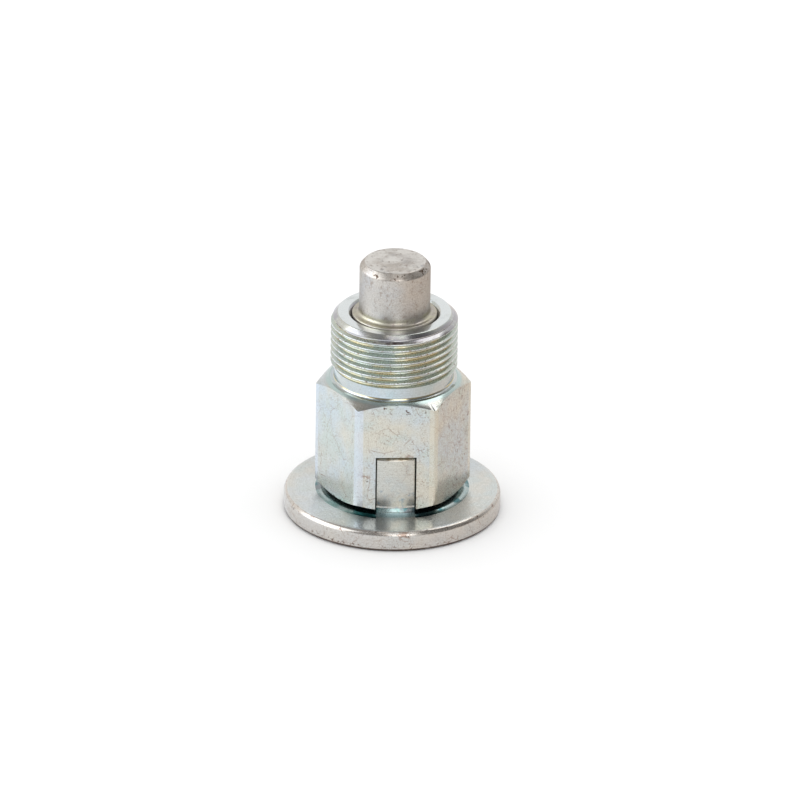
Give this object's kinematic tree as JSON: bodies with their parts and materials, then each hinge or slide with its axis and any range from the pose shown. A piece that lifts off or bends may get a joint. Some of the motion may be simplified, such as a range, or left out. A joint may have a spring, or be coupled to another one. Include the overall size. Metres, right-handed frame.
{
  "type": "indexing plunger",
  "caption": "Lock-out indexing plunger: spring-loaded chamfered pin in a hexagon body with a threaded nose and a cross slot, pulled by a round disc whose bar locks it back.",
  "frame": {"origin": "centre of the pull disc's underside, on which the part stands", "axes": "+Z along the plunger axis towards the tip, +Y and -Y through the ends of the cross slot and its bar, +X across the bar"},
  "size_m": [0.0305, 0.0304, 0.038],
  "materials": {
    "zinc_plated_steel": "clear-passivated zinc plate on turned and milled steel, satin",
    "zinc_plated_disc": "clear-passivated zinc plate on turned steel, bright on the upper face",
    "hardened_steel": "hardened and tumbled steel, satin, bare",
    "spring_wire": "drawn spring wire, oiled"
  },
  "bodies": {
    "guide": {"guide_body": "zinc_plated_steel", "compression_spring": "spring_wire"},
    "plunger": {"plunger_pin": "hardened_steel", "pull_disc": "zinc_plated_disc"}
  },
  "joints": [
    {"name": "pull", "type": "slide", "parent": "guide", "child": "plunger", "axis": [0, 0, -1], "range_m": [0, 0.0085], "stiffness_N_per_m": 2000, "springref_m": -0.008, "deforming": ["compression_spring"]}
  ]
}
